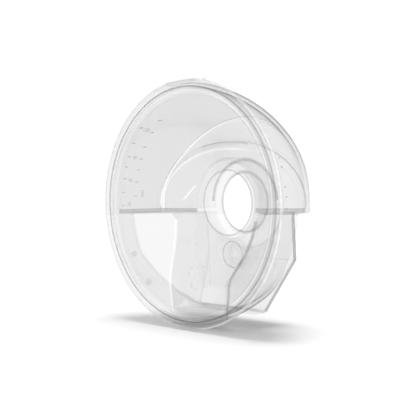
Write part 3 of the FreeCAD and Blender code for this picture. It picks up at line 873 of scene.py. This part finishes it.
def add_text(bm, text, size, y, z, upright):
    """Raised characters on the left of the dome, level or turned to read upward."""
    mesh = digit_mesh(text, size)
    for vertex in mesh.vertices:
        level, rise = vertex.co.x, vertex.co.y
        if upright:
            level, rise = -vertex.co.y, vertex.co.x
        vertex.co = on_dome(y + level * LETTER_SQUEEZE, z + rise, -1,
                            vertex.co.z + LETTER_LIFT) * MM
    bm.from_mesh(mesh)


def row_of_bars(name, side, half_length, width, columns):
    """Level bars on one side of the dome; columns holds (depth, heights)."""
    bm = bmesh.new()
    for y, levels in columns:
        for z in levels:
            raised_bar(bm, (y - half_length, z), (y + half_length, z), width, MARK_HEIGHT,
                       MARK_STEPS, lambda a, b, lift: on_dome(a, b, side, lift))
    finish_piece(name, bm, "cup", [PRINT])


def volume_scale():
    """Graduations of the milk chamber: two rows of bars with a number between them."""
    row_of_bars("scale_left", -1, MARK_HALF_LENGTH, MARK_WIDTH,
                [(MARK_COLUMN, MARK_LEVELS), (SECOND_COLUMN, SECOND_LEVELS)])
    row_of_bars("scale_right", 1, DOT_HALF_LENGTH, DOT_WIDTH, [(DOT_COLUMN, DOT_LEVELS)])
    bm = bmesh.new()
    for index, z in enumerate(NUMBER_LEVELS):
        number = str(TOP_VOLUME - VOLUME_STEP * index)
        add_text(bm, number, NUMBER_SIZE, NUMBER_COLUMN, z, False)
    add_text(bm, "ml", UNIT_SIZE, UNIT_COLUMN, UNIT_LEVEL, True)
    finish_piece("scale_numbers", bm, "cup", [PRINT])


def on_cradle(y, z, lift):
    """Point on the outside of the cradle's left wall at a depth and height, lifted outward."""
    upper = float(np.interp(y, CRADLE_DEPTHS, CRADLE_UPPER_HALF_WIDTHS))
    foot = float(np.interp(y, CRADLE_DEPTHS, CRADLE_FOOT_HALF_WIDTHS))
    share = min(max((CRADLE_KNEE_Z - z) / CRADLE_FOOT_RUN, 0.0), 1.0)
    return Vector((-(upper + (foot - upper) * share + lift), y, z))


def cradle_marks():
    """Faint moulded frame and dashes on the cradle's left side wall."""
    bm = bmesh.new()
    for start, end in CRADLE_DASHES:
        raised_bar(bm, start, end, DASH_WIDTH, DASH_HEIGHT, 1, on_cradle)
    finish_piece("cradle_marks", bm, "cup", [FAINT_LINE])


# --- CAD nodes that are shown -------------------------------------------------------

def dress(name, node):
    """Gives a CAD node its clear materials, with a polished bevel along its edges."""
    materials = FINISHES.get(name, SMALL_MATERIALS)
    node.data.materials.clear()
    for material in materials:
        node.data.materials.append(material)
    weld = node.modifiers.new("weld", "WELD")
    weld.merge_threshold = WELD_DISTANCE * MM
    if len(materials) > 1:
        bevel = node.modifiers.new("edges", "BEVEL")
        bevel.width = (PORT_BEVEL if name == "vacuum_port" else NODE_BEVEL) * MM
        bevel.segments = 2
        bevel.limit_method = "ANGLE"
        bevel.angle_limit = NODE_BEVEL_ANGLE
        bevel.material = SHINE
        bevel.harden_normals = True
    for polygon in node.data.polygons:
        polygon.use_smooth = True
        # side faces of the rear cover take its edge material, darker on the side turned to the
        # viewer: painted shade
        if name == "rear_cover" and abs(polygon.normal.x) > SIDE_FACING:
            polygon.material_index = EDGE


# --- studio -------------------------------------------------------------------------

def add_camera():
    """Camera in front of the cup and to its side, a little above its middle."""
    back = Vector((
        math.sin(AZIMUTH) * math.cos(ELEVATION),
        -math.cos(AZIMUTH) * math.cos(ELEVATION),
        math.sin(ELEVATION),
    ))
    right = Vector((math.cos(AZIMUTH), math.sin(AZIMUTH), 0.0))
    up = back.cross(right)
    turned_right = right * math.cos(ROLL) + up * math.sin(ROLL)
    turned_up = -right * math.sin(ROLL) + up * math.cos(ROLL)
    data = bpy.data.cameras.new("camera")
    data.lens = LENS
    data.sensor_width = SENSOR
    data.clip_start = 0.01
    data.clip_end = 20.0
    camera = bpy.data.objects.new("camera", data)
    turn = Matrix((turned_right, turned_up, back)).transposed().to_4x4()
    camera.matrix_world = Matrix.Translation(TARGET + back * DISTANCE) @ turn
    bpy.context.scene.collection.objects.link(camera)
    bpy.context.scene.camera = camera


def add_floor():
    """Pale floor that the lip's lowest point stands on."""
    graph = Graph("floor")
    speckle = graph.add("TexNoise", {"Scale": FLOOR_SPECKLE}).outputs["Fac"]
    low, high = FLOOR_TONES
    tone = graph.add("MapRange", {"To Min": low, "To Max": high, "Value": speckle})
    matt = graph.add("BsdfDiffuse", {"Color": tone.outputs[0]})
    graph.add("OutputMaterial", {"Surface": matt.outputs[0]})
    mesh = bpy.data.meshes.new("floor")
    bm = bmesh.new()
    bmesh.ops.create_grid(bm, x_segments=2, y_segments=2, size=FLOOR_HALF_SIDE)
    bm.to_mesh(mesh)
    bm.free()
    floor = bpy.data.objects.new("floor", mesh)
    turn = Vector((0, 0, 1)).rotation_difference(UPRIGHT).to_matrix().to_4x4()
    floor.matrix_world = Matrix.Translation(STAND_POINT - UPRIGHT * FLOOR_DROP) @ turn
    bpy.context.scene.collection.objects.link(floor)
    mesh.materials.append(graph.material)


def add_sun():
    """Soft light from straight above, so that the floor is evenly lit."""
    data = bpy.data.lights.new("key", "SUN")
    data.energy = SUN_STRENGTH
    data.angle = SUN_SPREAD
    light = bpy.data.objects.new("key", data)
    turn = Vector(SUN_DIRECTION).to_track_quat("-Z", "Y")
    light.matrix_world = turn.to_matrix().to_4x4()
    light.visible_glossy = False
    bpy.context.scene.collection.objects.link(light)


def set_world():
    """Even white surroundings."""
    world = bpy.data.worlds.new("studio")
    bpy.context.scene.world = world
    world.use_nodes = True
    back = world.node_tree.nodes["Background"]
    back.inputs["Color"].default_value = (1, 1, 1, 1)
    back.inputs["Strength"].default_value = WORLD_STRENGTH


add_camera()
add_floor()
set_world()
add_sun()
bpy.context.scene.view_settings.view_transform = "Standard"
bpy.context.scene.cycles.transparent_max_bounces = CLEAR_LAYERS

breast_shield()
gate_nub()
outer_shell()
dock_wall()
cradle_edges()
cover_corners()
volume_scale()
cradle_marks()
dock_beads()
dock_highlight_streaks()
ring_beads()

for name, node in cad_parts.items():
    if not node.hide_render:
        dress(name, node)
